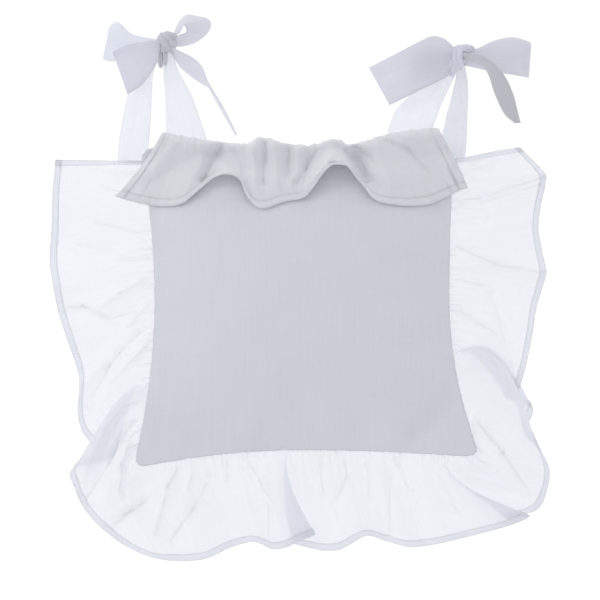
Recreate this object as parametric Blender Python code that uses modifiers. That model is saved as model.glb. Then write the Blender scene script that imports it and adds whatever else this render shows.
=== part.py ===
"""A small square ring bearer pillow with a gathered frill and two tied bows.

The pillow lies on its back, front up. Metres, +Z up, +Y towards the bows.
The origin is the middle of the flat patch that the back rests on.
"""

from math import pi, sin, sqrt

import bmesh
import bpy
from mathutils import Vector

# Cloth and clearances
CLOTH = 0.0008            # thickness of every cloth sheet
GAP = 0.0003              # clearance between pieces that touch
# Cushion
BODY_WIDTH = 0.184        # between the middles of the two side seams
BODY_LENGTH = 0.190       # between the middles of the top and bottom seams
SEAM_HEIGHT = 0.026       # seam above the resting surface
FRONT_RISE = 0.030        # crown of the front above the seam
FLANGE = 0.030            # share of the half width that is flat at the seam
PANEL_CELLS = 16
# How far each corner's ear reaches past the middles of its two edges: (x, y)
EARS = {
    (-1, 1): (0.007, 0.003),
    (1, 1): (0.008, 0.003),
    (-1, -1): (0.010, 0.012),
    (1, -1): (0.020, 0.005),
}
EAR_POWER = 2.0
BACK_FLATNESS = 1.6       # above 1, the middle of the back lies flat
# Outer frill, down the left side, along the bottom and up the right side
FRILL_DEPTH = 0.060
FRILL_HEM_HEIGHT = 0.006
FRILL_WAVES = 14
FRILL_WAVE_HEIGHT = 0.004
FRILL_COLUMNS = 112
FRILL_ROWS = 4
# Place on the seam (u across, v up, -1 to 1), then the hem's reach in frill depths
FRILL_STATIONS = [
    (-1, 0.88, -0.98, 0.00),
    (-1, 0.40, -1.06, 0.00),
    (-1, 0.00, -1.00, 0.00),
    (-1, -0.50, -0.76, -0.02),
    (-1, -0.85, -0.66, 0.02),
    (-1, -1.00, -0.72, -0.20),
    (-1, -1.00, -0.60, -0.62),
    (-1, -1.00, -0.16, -0.92),
    (-0.70, -1, -0.10, -1.08),
    (-0.30, -1, -0.06, -0.96),
    (0.10, -1, 0.00, -1.02),
    (0.45, -1, 0.04, -0.92),
    (0.75, -1, 0.20, -0.98),
    (1, -1, 0.36, -0.74),
    (1, -1, 0.70, -0.36),
    (1, -0.90, 0.66, -0.08),
    (1, -0.45, 0.78, 0.00),
    (1, 0.00, 0.98, 0.02),
    (1, 0.45, 1.02, 0.00),
    (1, 0.84, 1.00, 0.00),
    (1, 0.96, 0.76, 0.04),
]
# Top frill: a heading stands out of the top seam, then folds down over the front
FOLD_OUT = 0.006          # fold line beyond the top seam
FOLD_RISE = 0.011         # fold line above the seam
FOLD_LEFT = -BODY_WIDTH / 2 + 0.004
FOLD_RIGHT = BODY_WIDTH / 2 - 0.005
HEM_LEFT = -BODY_WIDTH / 2 - 0.025
HEM_RIGHT = BODY_WIDTH / 2 + 0.012
TOP_FRILL_DEPTH = 0.045
TOP_FRILL_REACH = [0.84, 0.96, 0.92, 0.60, 1.00, 0.88, 0.40, 0.84, 1.00, 0.96, 0.70]
TOP_FRILL_LIFT = 0.003    # hem above the front panel
TOP_FRILL_PUFF = 0.005    # crown of the falling part
TOP_FRILL_ARCH = 0.016    # extra height where the hem is drawn up
# Ties
TIE_WIDTH = 0.026
KNOT = (0.50, 0.62, 0.50)  # size of a knot in tie widths
KNOT_GAP = 0.00078         # strip ends to knot
KNOT_FOOT = 3 / 26         # height where a strap meets its knot, in tie widths
LEFT_KNOT_IN = 0.0064      # knot from the side edge's middle, towards the centre
RIGHT_KNOT_OUT = 0.0065
LEFT_KNOT_REACH = 0.065    # knot beyond the top seam
RIGHT_KNOT_REACH = 0.0554
STRAP_COLUMNS, LOOP_COLUMNS, TAIL_COLUMNS = 12, 20, 12

COTTON = (0.83, 0.83, 0.86, 1.0)
SHEER = (0.93, 0.93, 0.95, 1.0)
FILLING = (0.90, 0.89, 0.86, 1.0)


def clear_scene():
    for obj in list(bpy.data.objects):
        bpy.data.objects.remove(obj, do_unlink=True)


def material(name, colour):
    made = bpy.data.materials.new(name)
    made.use_nodes = True
    shader = made.node_tree.nodes["Principled BSDF"]
    shader.inputs["Base Color"].default_value = colour
    shader.inputs["Roughness"].default_value = 0.9
    shader.inputs["Metallic"].default_value = 0.0
    return made


def add_object(name, bm, colour):
    mesh = bpy.data.meshes.new(name)
    bm.to_mesh(mesh)
    bm.free()
    mesh.shade_smooth()
    obj = bpy.data.objects.new(name, mesh)
    obj.data.materials.append(material(name, colour))
    COLLECTION.objects.link(obj)
    return obj


def sheet(name, columns, rows, place, colour, offset=0.0):
    """A cloth sheet: a grid whose points go where place(u, v) says, given thickness."""
    bm = bmesh.new()
    bmesh.ops.create_grid(bm, x_segments=columns, y_segments=rows, size=1.0)
    for vert in bm.verts:
        vert.co = place((vert.co.x + 1) / 2, (vert.co.y + 1) / 2)
    obj = add_object(name, bm, colour)
    solidify = obj.modifiers.new("cloth", "SOLIDIFY")
    solidify.thickness = CLOTH
    solidify.offset = offset
    return obj


def spline(points, t):
    """The point at t, 0 to 1, on a smooth curve through evenly timed points."""
    last = len(points) - 1
    at = min(max(t, 0.0), 1.0) * last
    i = min(int(at), last - 1)
    f = at - i
    b, c = Vector(points[i]), Vector(points[i + 1])
    a = Vector(points[i - 1]) if i else b * 2 - c
    d = Vector(points[i + 2]) if i + 2 <= last else c * 2 - b
    return 0.5 * (2 * b + (c - a) * f + (2 * a - 5 * b + 4 * c - d) * f * f
                  + (3 * b - a - 3 * c + d) * f * f * f)


# ---- Cushion

def body_xy(u, v):
    """Place on the cushion for u across and v up, each from -1 to 1."""
    ear_x, ear_y = EARS[(1 if u > 0 else -1, 1 if v > 0 else -1)]
    return (u * (BODY_WIDTH / 2 + ear_x * abs(v) ** EAR_POWER),
            v * (BODY_LENGTH / 2 + ear_y * abs(u) ** EAR_POWER))


def dome(u, v, edge):
    """1 in the middle and 0 where u or v reaches the edge."""
    if max(abs(u), abs(v)) > edge - 1e-6:
        return 0.0
    return sqrt((1 - (u / edge) ** 2) * (1 - (v / edge) ** 2))


def ringed(w, edge):
    """Spreads a 0-to-1 grid coordinate to -1 to 1, with its outer ring from edge to 1."""
    w = w * 2 - 1
    inner = 1 - 2 / PANEL_CELLS
    return w * edge / inner if abs(w) < inner + 1e-6 else w / abs(w)


PANEL_EDGE = 1 - FLANGE
PAD_EDGE = PANEL_EDGE - 0.015
RIM = CLOTH / 2 + GAP + CLOTH      # outer face of each rim from the seam's middle


def front_point(u, v):
    x, y = body_xy(u, v)
    return Vector((x, y, SEAM_HEIGHT + RIM + FRONT_RISE * dome(u, v, PANEL_EDGE)))


def back_point(u, v):
    x, y = body_xy(u, v)
    drop = min(1.0, BACK_FLATNESS * dome(u, v, PANEL_EDGE))
    return Vector((x, y, (SEAM_HEIGHT - RIM) * (1 - drop)))


def panel(name, point, offset):
    def place(s, t):
        return point(ringed(s, PANEL_EDGE), ringed(t, PANEL_EDGE))
    sheet(name, PANEL_CELLS, PANEL_CELLS, place, COTTON, offset)


def front_height(x, y):
    """Height of the front panel's outer face above a point."""
    u = min(1.0, max(-1.0, x / (BODY_WIDTH / 2)))
    v = min(1.0, max(-1.0, y / (BODY_LENGTH / 2)))
    return SEAM_HEIGHT + RIM + FRONT_RISE * dome(u, v, 1.0)


def pad():
    """The stuffing: the two panels' shapes, drawn in by the cloth, and joined at a rim."""
    bm = bmesh.new()
    for point, inward in ((front_point, -1), (back_point, 1)):
        half = bmesh.ops.create_grid(bm, x_segments=PANEL_CELLS - 2,
                                     y_segments=PANEL_CELLS - 2, size=PANEL_EDGE)["verts"]
        rim = {vert for vert in half if vert.is_boundary}
        places = {vert: vert.co.copy() for vert in half}
        for vert in half:
            vert.co = point(vert.co.x, vert.co.y)
        bm.normal_update()
        for vert in half:
            if vert in rim:
                u, v = places[vert].xy * (PAD_EDGE / PANEL_EDGE)
                vert.co = (*body_xy(u, v), SEAM_HEIGHT)
            else:
                vert.co += vert.normal * inward * (CLOTH + 2 * GAP)
    bmesh.ops.reverse_faces(bm, faces=list({face for vert in half for face in vert.link_faces}))
    bmesh.ops.remove_doubles(bm, verts=bm.verts, dist=0.00001)
    add_object("fill_pad", bm, FILLING)


def cushion():
    panel("front_panel", front_point, offset=-1.0)
    panel("back_panel", back_point, offset=1.0)
    pad()


# ---- Outer frill

def frill_place(s, t):
    """s runs along the seam, t from the seam, 0, to the hem, 1."""
    u, v, out_x, out_y = spline([Vector(station) for station in FRILL_STATIONS], s)
    u, v = min(1, max(-1, u)), min(1, max(-1, v))
    inner = 1 - FLANGE * 0.8
    start = Vector(body_xy(u * inner if abs(u) > inner else u,
                           v * inner if abs(v) > inner else v))
    hem = Vector(body_xy(u, v)) + FRILL_DEPTH * Vector((out_x, out_y))
    x, y = start.lerp(hem, t)
    wave = FRILL_WAVE_HEIGHT * sin(2 * pi * FRILL_WAVES * s)
    flat = 0.12                    # the stretch between the panels' rims
    fall = max(0.0, t - flat) / (1 - flat)
    return Vector((x, y, SEAM_HEIGHT + (FRILL_HEM_HEIGHT - SEAM_HEIGHT + wave) * fall))


def outer_frill():
    sheet("outer_frill", FRILL_COLUMNS, FRILL_ROWS * 2, frill_place, SHEER)


# ---- Top frill

def heading_place(s, t):
    """From between the panels' rims up to the fold line."""
    fold_x = FOLD_LEFT + (FOLD_RIGHT - FOLD_LEFT) * s
    u = fold_x / abs(body_xy(1 if fold_x > 0 else -1, 1)[0])
    inside = Vector((*body_xy(u, 1 - FLANGE * 0.8), SEAM_HEIGHT))
    rim = Vector((*body_xy(u, 1), SEAM_HEIGHT)) + Vector((0, 0.0025, 0))
    fold = Vector((fold_x, BODY_LENGTH / 2 + FOLD_OUT, SEAM_HEIGHT + FOLD_RISE - GAP - CLOTH))
    return inside.lerp(rim, t * 2) if t < 0.5 else rim.lerp(fold, t * 2 - 1)


def top_frill_place(s, t):
    reach = spline([Vector((value, 0)) for value in TOP_FRILL_REACH], s).x
    fold_y = BODY_LENGTH / 2 + FOLD_OUT
    fold_x = FOLD_LEFT + (FOLD_RIGHT - FOLD_LEFT) * s
    hem_x = HEM_LEFT + (HEM_RIGHT - HEM_LEFT) * s
    x = fold_x + (hem_x - fold_x) * t
    y = fold_y - TOP_FRILL_DEPTH * reach * t
    rise = TOP_FRILL_LIFT + TOP_FRILL_PUFF * sin(pi * t) + TOP_FRILL_ARCH * (1 - reach) * t
    over_front = front_height(x, y) + rise
    fold_z = SEAM_HEIGHT + FOLD_RISE
    near = min(1.0, t / 0.2)
    return Vector((x, y, fold_z + (over_front - fold_z) * near))


def top_frill():
    sheet("top_frill_heading", 24, 4, heading_place, SHEER)
    sheet("top_frill", 40, 6, top_frill_place, SHEER)


# ---- Ties: each bow has two straps, a knot, two loops and two tails

STRAP_HEIGHT = SEAM_HEIGHT - CLOTH - 2 * GAP     # sewn ends lie under the heading

def ribbon(name, first_edge, second_edge, columns, rows=3):
    """A strip of cloth between two smooth edges."""
    def place(s, t):
        return spline(first_edge, s).lerp(spline(second_edge, s), t)
    return sheet(name, columns, rows, place, COTTON)


def at_knot(knot, edge):
    """An edge given in tie widths from the knot's middle, with its height from the table."""
    return [Vector((knot.x + x * TIE_WIDTH, knot.y + y * TIE_WIDTH, z * TIE_WIDTH))
            for x, y, z in edge]


def there_and_back(edge, top, bottom):
    """A loop's edge: out along the top layer, round its end and back underneath."""
    middle = (top + bottom) / 2
    (end_x, end_y) = edge[-1]
    out = [(x, y, top) for x, y in edge[:-1]]
    back = [(x, y, bottom) for x, y in reversed(edge[:-1])]
    return [*out, (end_x, end_y, middle), *back]


def tie_knot(name, knot):
    bm = bmesh.new()
    bmesh.ops.create_cube(bm, size=1.0)
    size = Vector(KNOT) * TIE_WIDTH
    for vert in bm.verts:
        vert.co = Vector((knot.x + vert.co.x * size.x, knot.y + vert.co.y * size.y,
                          knot.z + vert.co.z * size.z))
    obj = add_object(name, bm, COTTON)
    bevel = obj.modifiers.new("soft edges", "BEVEL")
    bevel.width = min(size) * 0.28
    bevel.segments = 3
    return obj


def strap(name, knot, edges):
    """A strap from the top seam to the knot. Each edge point is (metres from the knot
    in x, share of the way from seam to knot, height above the table)."""
    seam_y = BODY_LENGTH / 2 + 0.0035
    knot_low = knot.y - KNOT[1] / 2 * TIE_WIDTH - KNOT_GAP
    rails = []
    for edge in edges:
        rails.append([Vector((knot.x + x, seam_y + (knot_low - seam_y) * share, z))
                      for x, share, z in edge])
    ribbon(name, rails[0], rails[1], STRAP_COLUMNS)


def left_bow():
    knot = Vector((-BODY_WIDTH / 2 + LEFT_KNOT_IN, BODY_LENGTH / 2 + LEFT_KNOT_REACH,
                   KNOT[2] / 2 * TIE_WIDTH + GAP))
    face = KNOT[0] / 2 + KNOT_GAP / TIE_WIDTH
    tie_knot("left_knot", knot)
    high = STRAP_HEIGHT
    low = KNOT_FOOT * TIE_WIDTH
    strap("left_outer_strap", knot, [
        [(-0.029, -0.10, high), (-0.0285, 0.12, high - 0.008), (-0.026, 0.5, 0.002),
         (-0.006, 1.0, low)],
        [(-0.010, 0.03, high), (-0.0095, 0.20, high - 0.008), (-0.009, 0.6, 0.002),
         (-0.001, 1.0, low)]])
    strap("left_inner_strap", knot, [
        [(-0.001, 0.00, high), (-0.001, 0.20, high - 0.008), (-0.001, 0.6, 0.002),
         (0.001, 1.0, low)],
        [(0.0275, 0.00, high), (0.025, 0.20, high - 0.008), (0.015, 0.6, 0.002),
         (0.006, 1.0, low)]])
    ribbon("left_bow_back_loop",
           at_knot(knot, there_and_back(
               [(-face, 0.16), (-0.80, 0.22), (-1.15, 0.48), (-1.42, 0.34)], 0.27, 0.08)),
           at_knot(knot, there_and_back(
               [(-face, -0.14), (-0.80, -0.12), (-1.20, -0.40), (-1.50, -0.33)], 0.27, 0.08)),
           LOOP_COLUMNS)
    ribbon("left_bow_front_tail",
           at_knot(knot, [(-face, 0.10, 0.38), (-0.55, 0.04, 0.44), (-0.90, -0.04, 0.44),
                          (-1.28, -0.21, 0.40)]),
           at_knot(knot, [(-face, -0.18, 0.38), (-0.40, -0.70, 0.40), (-0.62, -1.02, 0.34),
                          (-0.95, -1.22, 0.28)]),
           TAIL_COLUMNS)
    ring = [(face, 0.20), (0.42, 0.50), (0.65, 0.70), (0.92, 0.64), (1.06, 0.46),
            (0.92, 0.22), (0.62, 0.06), (face, 0.02)]
    ribbon("left_bow_right_loop",
           at_knot(knot, [(x, y, 0.05) for x, y in ring]),
           at_knot(knot, [(x, y, 0.34) for x, y in ring]),
           LOOP_COLUMNS)
    ribbon("left_bow_hanging_tail",
           at_knot(knot, [(face, -0.06, 0.40), (0.62, -0.30, 0.80), (0.96, -0.70, 0.88),
                          (1.15, -1.10, 0.90), (1.37, -1.56, 0.80), (1.72, -2.10, 0.50)]),
           at_knot(knot, [(face, -0.24, 0.12), (0.50, -0.52, 0.08), (0.86, -0.95, 0.05),
                          (1.10, -1.30, 0.05), (1.30, -1.66, 0.05), (1.64, -2.10, 0.05)]),
           TAIL_COLUMNS)


def right_bow():
    knot = Vector((BODY_WIDTH / 2 + RIGHT_KNOT_OUT, BODY_LENGTH / 2 + RIGHT_KNOT_REACH,
                   KNOT[2] / 2 * TIE_WIDTH + GAP))
    face = KNOT[0] / 2 + KNOT_GAP / TIE_WIDTH
    tie_knot("right_knot", knot)
    high = STRAP_HEIGHT
    low = KNOT_FOOT * TIE_WIDTH
    strap("right_inner_strap", knot, [
        [(-0.0445, 0.00, high), (-0.043, 0.25, high - 0.009), (-0.030, 0.7, 0.002),
         (-0.006, 1.0, low)],
        [(-0.0180, 0.00, high), (-0.0155, 0.25, high - 0.009), (-0.0085, 0.7, 0.002),
         (-0.001, 1.0, low)]])
    strap("right_outer_strap", knot, [
        [(-0.0105, 0.00, high), (-0.0085, 0.25, high - 0.009), (-0.0040, 0.7, 0.002),
         (0.001, 1.0, low)],
        [(0.0035, 0.02, high), (0.0045, 0.25, high - 0.009), (0.005, 0.7, 0.002),
         (0.006, 1.0, low)]])
    ribbon("right_bow_front_tail",
           at_knot(knot, [(-face, 0.20, 0.38), (-0.65, 0.50, 0.44), (-1.40, 0.17, 0.44),
                          (-2.17, -0.22, 0.36)]),
           at_knot(knot, [(-face, -0.22, 0.38), (-0.77, -0.66, 0.44), (-1.20, -0.88, 0.42),
                          (-1.67, -1.11, 0.36)]),
           TAIL_COLUMNS)
    ribbon("right_bow_back_loop",
           at_knot(knot, there_and_back(
               [(-face, 0.16), (-0.70, 0.34), (-1.15, 0.16)], 0.27, 0.08)),
           at_knot(knot, there_and_back(
               [(-face, -0.16), (-0.80, -0.44), (-1.15, -0.62)], 0.27, 0.08)),
           LOOP_COLUMNS)
    ribbon("right_bow_right_loop",
           at_knot(knot, there_and_back(
               [(face, 0.16), (0.84, 0.42), (1.27, 0.51), (1.74, 0.37)], 0.30, 0.08)),
           at_knot(knot, there_and_back(
               [(face, -0.20), (0.84, -0.32), (1.27, -0.38), (1.71, -0.44)], 0.30, 0.08)),
           LOOP_COLUMNS)
    ribbon("right_bow_hanging_tail",
           at_knot(knot, [(face, 0.02, 0.38), (0.57, -0.14, 0.46), (0.74, -0.50, 0.34),
                          (0.86, -0.95, 0.16), (1.10, -1.38, 0.06), (1.42, -1.57, 0.05)]),
           at_knot(knot, [(face, 0.18, 0.40), (0.60, 0.06, 0.58), (0.94, -0.24, 0.62),
                          (1.22, -0.68, 0.50), (1.37, -1.16, 0.30), (1.47, -1.50, 0.10)]),
           TAIL_COLUMNS)


clear_scene()
COLLECTION = bpy.data.collections.new("ring_bearer_pillow")
bpy.context.scene.collection.children.link(COLLECTION)
cushion()
outer_frill()
top_frill()
left_bow()
right_bow()
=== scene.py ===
"""Looks of a small square cushion with a gathered frill, a folded top frill and two tied bows.

The cushion lies on its back on a white table, front up, and its bows lie beyond the top seam.
"""

from math import cos, exp, sin, sqrt

import bmesh
import bpy
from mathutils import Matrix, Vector, noise
from mathutils.bvhtree import BVHTree


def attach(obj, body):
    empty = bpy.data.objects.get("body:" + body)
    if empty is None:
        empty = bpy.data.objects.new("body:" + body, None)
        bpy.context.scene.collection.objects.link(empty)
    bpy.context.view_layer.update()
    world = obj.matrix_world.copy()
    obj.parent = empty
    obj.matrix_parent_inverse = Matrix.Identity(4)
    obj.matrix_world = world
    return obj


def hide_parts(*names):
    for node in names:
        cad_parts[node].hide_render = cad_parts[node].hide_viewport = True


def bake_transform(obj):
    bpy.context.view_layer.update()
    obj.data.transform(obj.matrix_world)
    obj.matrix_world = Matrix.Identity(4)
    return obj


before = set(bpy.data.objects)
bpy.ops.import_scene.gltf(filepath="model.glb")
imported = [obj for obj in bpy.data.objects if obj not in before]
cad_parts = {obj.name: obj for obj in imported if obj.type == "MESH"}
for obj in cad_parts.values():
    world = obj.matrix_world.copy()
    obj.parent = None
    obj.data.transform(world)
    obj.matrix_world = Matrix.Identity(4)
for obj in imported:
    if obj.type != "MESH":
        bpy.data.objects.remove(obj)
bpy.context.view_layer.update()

# ---- Table and light ------------------------------------------------------------------------
# A white light table: the cloth is lit from below through the frill and softly from all round,
# with a broad window light from the upper left.

VIEW_MIDDLE = (-0.00125, -0.00125)
VIEW_WIDTH = 0.375
VIEW_HEIGHT = 3.0
FOCUS_HEIGHT = 0.026

lens = bpy.data.cameras.new("camera")
lens.sensor_width = 36.0
lens.lens = lens.sensor_width * VIEW_HEIGHT / VIEW_WIDTH
lens.clip_end = 20.0
camera = bpy.data.objects.new("camera", lens)
camera.location = (*VIEW_MIDDLE, FOCUS_HEIGHT + VIEW_HEIGHT)
bpy.context.scene.collection.objects.link(camera)
bpy.context.scene.camera = camera
bpy.context.scene.view_settings.view_transform = "Standard"

world = bpy.data.worlds.new("room")
bpy.context.scene.world = world
world.use_nodes = True
sky = world.node_tree.nodes["Background"]
sky.inputs["Color"].default_value = (0.925, 0.938, 1.0, 1.0)
sky.inputs["Strength"].default_value = 0.765


def window(name, place, size, power):
    """A broad soft lamp that faces the middle of the cushion."""
    lamp = bpy.data.lights.new(name, "AREA")
    lamp.shape = "DISK"
    lamp.size = size
    lamp.energy = power
    lit = bpy.data.objects.new(name, lamp)
    lit.location = place
    lit.rotation_euler = (-Vector(place)).to_track_quat("-Z", "Y").to_euler()
    bpy.context.scene.collection.objects.link(lit)


window("window", (-1.1, 0.7, 0.8), 0.5, 2.2)

table = bmesh.new()
bmesh.ops.create_grid(table, x_segments=1, y_segments=1, size=3.0)
table_mesh = bpy.data.meshes.new("table")
table.to_mesh(table_mesh)
table.free()
table_top = bpy.data.objects.new("table", table_mesh)
bpy.context.scene.collection.objects.link(table_top)
white = bpy.data.materials.new("lit_table")
white.use_nodes = True
surface = white.node_tree.nodes["Principled BSDF"]
surface.inputs["Base Color"].default_value = (0.12, 0.12, 0.12, 1.0)
surface.inputs["Roughness"].default_value = 1.0
surface.inputs["Specular IOR Level"].default_value = 0.0
surface.inputs["Emission Color"].default_value = (1.0, 1.0, 1.0, 1.0)
surface.inputs["Emission Strength"].default_value = 0.96
table_mesh.materials.append(white)

# ---- Cushion covers and stuffing ------------------------------------------------------------
# Two square panels of white plain-weave cotton, sewn together at their edges round a loose
# fibre filling. The filling swells them, and the spare cloth puckers along the seams.

BODY_WIDTH = 0.184
BODY_LENGTH = 0.190
SEAM_HEIGHT = 0.026
EARS = {
    (-1, 1): (0.010, -0.001),
    (1, 1): (0.003, -0.001),
    (-1, -1): (0.014, 0.012),
    (1, -1): (0.020, 0.005),
}
CORNER_ROUNDING = 0.0035
COVER_CELLS = 80
COVER_EASE = 0.042        # how much bigger the cloth is than its flat outline
COVER_PRESSURE = 6.0
COVER_FRAMES = 30
COVER_SMOOTHING = 14      # passes that ease the creases out of the swollen cloth
COVER_THICKNESS = 0.0004
TABLE_CLEARANCE = 0.0006


def body_xy(u, v):
    """Place on the cushion for u across and v up, each from -1 to 1."""
    ear_x, ear_y = EARS[(1 if u > 0 else -1, 1 if v > 0 else -1)]
    turned = CORNER_ROUNDING * abs(u * v) ** 24
    return (u * (BODY_WIDTH / 2 + ear_x * abs(v) ** 2 - turned),
            v * (BODY_LENGTH / 2 + ear_y * abs(u) ** 2 - turned))


def drift(seed, *place):
    """Smooth noise from -1 to 1 at a place, the same at every run."""
    spot = [*place, 0.0, 0.0][:2]
    return noise.noise(Vector((spot[0], spot[1], seed * 7.31)))


def add_piece(name, bm, body, finish):
    """Makes an object of the mesh with its finish, on a body unless it bends between two."""
    mesh = bpy.data.meshes.new(name)
    bm.to_mesh(mesh)
    bm.free()
    mesh.shade_smooth()
    piece = bpy.data.objects.new(name, mesh)
    bpy.context.scene.collection.objects.link(piece)
    mesh.materials.append(finish)
    if body:
        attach(piece, body)
    return piece


def give_thickness(piece, thickness):
    """Gives a sheet of cloth its thickness, half on each side."""
    shell = piece.modifiers.new("thickness", "SOLIDIFY")
    shell.thickness = thickness
    shell.offset = 0.0


def cloth_finish(name, colour, sheer, see_through, threads, nap):
    """Plain-weave cotton that follows a piece's own UV map, which is in metres.

    sheer is the share of light that the threads let through, see_through the share that
    passes between them."""
    made = bpy.data.materials.new(name)
    made.use_nodes = True
    tree = made.node_tree
    nodes = tree.nodes
    link = tree.links.new
    shader = nodes["Principled BSDF"]
    place = nodes.new("ShaderNodeUVMap")
    place.uv_map = "cloth"

    def scaled(size_x, size_y):
        mapping = nodes.new("ShaderNodeMapping")
        mapping.inputs["Scale"].default_value = (size_x, size_y, 1.0)
        link(place.outputs["UV"], mapping.inputs["Vector"])
        return mapping.outputs["Vector"]

    def blotch(size_x, size_y, detail):
        made_noise = nodes.new("ShaderNodeTexNoise")
        made_noise.inputs["Scale"].default_value = 1.0
        made_noise.inputs["Detail"].default_value = detail
        link(scaled(size_x, size_y), made_noise.inputs["Vector"])
        return made_noise.outputs["Fac"]

    def combine(kind, first, second):
        node = nodes.new("ShaderNodeMath")
        node.operation = kind
        for socket, value in zip(node.inputs, (first, second)):
            if isinstance(value, (int, float)):
                socket.default_value = value
            else:
                link(value, socket)
        return node.outputs[0]

    def thread(axis):
        wave = nodes.new("ShaderNodeTexWave")
        wave.wave_type = "BANDS"
        wave.bands_direction = axis
        wave.inputs["Scale"].default_value = threads / 20.0
        wave.inputs["Distortion"].default_value = 0.6
        wave.inputs["Detail"].default_value = 1.0
        wave.inputs["Detail Scale"].default_value = 0.2
        link(place.outputs["UV"], wave.inputs["Vector"])
        return wave.outputs["Fac"]

    # Per-vertex crease value set by hemmed_sheet; it darkens the colour below: painted shade.
    crease_shade_attribute = nodes.new("ShaderNodeAttribute")
    crease_shade_attribute.attribute_name = "painted_crease_shade"
    weave = combine("MAXIMUM", thread("X"), thread("Y"))
    slubs = combine("ADD", combine("MULTIPLY", blotch(900.0, 30.0, 2.0), 1.4),
                    combine("MULTIPLY", blotch(38.0, 900.0, 2.0), 0.6))
    cloud = blotch(28.0, 28.0, 3.0)
    height = combine("ADD", combine("MULTIPLY", weave, 0.35), combine("MULTIPLY", slubs, 0.7))
    bump = nodes.new("ShaderNodeBump")
    bump.inputs["Strength"].default_value = 0.35
    bump.inputs["Distance"].default_value = nap
    link(height, bump.inputs["Height"])
    link(bump.outputs["Normal"], shader.inputs["Normal"])

    tone = combine("ADD", combine("MULTIPLY", slubs, 0.5), combine("MULTIPLY", cloud, 0.5))
    ramp = nodes.new("ShaderNodeValToRGB")
    ramp.color_ramp.elements[0].position = 0.0
    ramp.color_ramp.elements[0].color = (*[c * 0.78 for c in colour], 1.0)
    ramp.color_ramp.elements[1].position = 0.95
    ramp.color_ramp.elements[1].color = (*colour, 1.0)
    woven = ramp.color_ramp.elements.new(0.45)
    woven.color = (*[c * 0.955 for c in colour], 1.0)
    # Painted shade: the crease value is taken off the tone, so creases take the ramp's darker
    # colours.
    link(combine("SUBTRACT", tone, crease_shade_attribute.outputs["Fac"]), ramp.inputs["Fac"])
    link(ramp.outputs["Color"], shader.inputs["Base Color"])
    shader.inputs["Roughness"].default_value = 0.85
    shader.inputs["Specular IOR Level"].default_value = 0.25
    shader.inputs["Sheen Weight"].default_value = 0.15
    shader.inputs["Sheen Roughness"].default_value = 0.5

    out = nodes["Material Output"]
    result = shader.outputs["BSDF"]
    if sheer:
        glow = nodes.new("ShaderNodeBsdfTranslucent")
        link(ramp.outputs["Color"], glow.inputs["Color"])
        link(bump.outputs["Normal"], glow.inputs["Normal"])
        mix = nodes.new("ShaderNodeMixShader")
        mix.inputs["Fac"].default_value = sheer
        link(result, mix.inputs[1])
        link(glow.outputs["BSDF"], mix.inputs[2])
        result = mix.outputs["Shader"]
    if see_through:
        clear = nodes.new("ShaderNodeBsdfTransparent")
        mix = nodes.new("ShaderNodeMixShader")
        mix.inputs["Fac"].default_value = see_through
        link(result, mix.inputs[1])
        link(clear.outputs["BSDF"], mix.inputs[2])
        result = mix.outputs["Shader"]
    link(result, out.inputs["Surface"])
    return made


cover_cotton = cloth_finish("cover_cotton", (0.82, 0.825, 0.85), 0.0, 0.0, 1500.0, 0.0006)


def flat_covers():
    """Both panels in one mesh, joined where they are sewn; the rim is vertex group 0."""
    bm = bmesh.new()
    held = bm.verts.layers.deform.verify()
    for side in (1, -1):
        half = bmesh.ops.create_grid(bm, x_segments=COVER_CELLS, y_segments=COVER_CELLS,
                                     size=1.0)["verts"]
        for vert in half:
            u, v = vert.co.xy
            x, y = body_xy(u, v)
            crown = side * 0.010 * (1 - u * u) * (1 - v * v)
            if max(abs(u), abs(v)) > 1 - 1e-5:
                vert[held][0] = 1.0
                crown = 0.0009 * drift(3, (x if abs(v) > abs(u) else y) * 60, u - v)
            vert.co = (x, y, SEAM_HEIGHT + crown)
        if side < 0:
            bmesh.ops.reverse_faces(bm, faces=list({f for v in half for f in v.link_faces}))
    bmesh.ops.remove_doubles(bm, verts=bm.verts, dist=0.00002)
    return bm


def blow_up(bm):
    """Swells the cloth with its rim held in the seam, and puts the settled mesh back into bm."""
    mesh = bpy.data.meshes.new("covers")
    bm.to_mesh(mesh)
    sewn = bpy.data.objects.new("covers", mesh)
    bpy.context.scene.collection.objects.link(sewn)
    sewn.vertex_groups.new(name="rim")
    swell = sewn.modifiers.new("swell", "CLOTH")
    cloth = swell.settings
    cloth.quality = 6
    cloth.mass = 0.15
    cloth.tension_stiffness = 20.0
    cloth.compression_stiffness = 20.0
    cloth.shear_stiffness = 8.0
    cloth.bending_stiffness = 0.2
    cloth.air_damping = 2.0
    cloth.use_pressure = True
    cloth.uniform_pressure_force = COVER_PRESSURE
    cloth.shrink_min = -COVER_EASE
    cloth.vertex_group_mass = "rim"
    cloth.effector_weights.gravity = 0.0
    swell.collision_settings.use_collision = False
    swell.point_cache.frame_start = 1
    swell.point_cache.frame_end = COVER_FRAMES
    for step in range(1, COVER_FRAMES + 1):
        bpy.context.scene.frame_set(step)
    settled = sewn.evaluated_get(bpy.context.evaluated_depsgraph_get())
    bm.clear()
    bm.from_mesh(settled.to_mesh())
    bpy.data.objects.remove(sewn, do_unlink=True)
    bpy.context.scene.frame_set(1)


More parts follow.
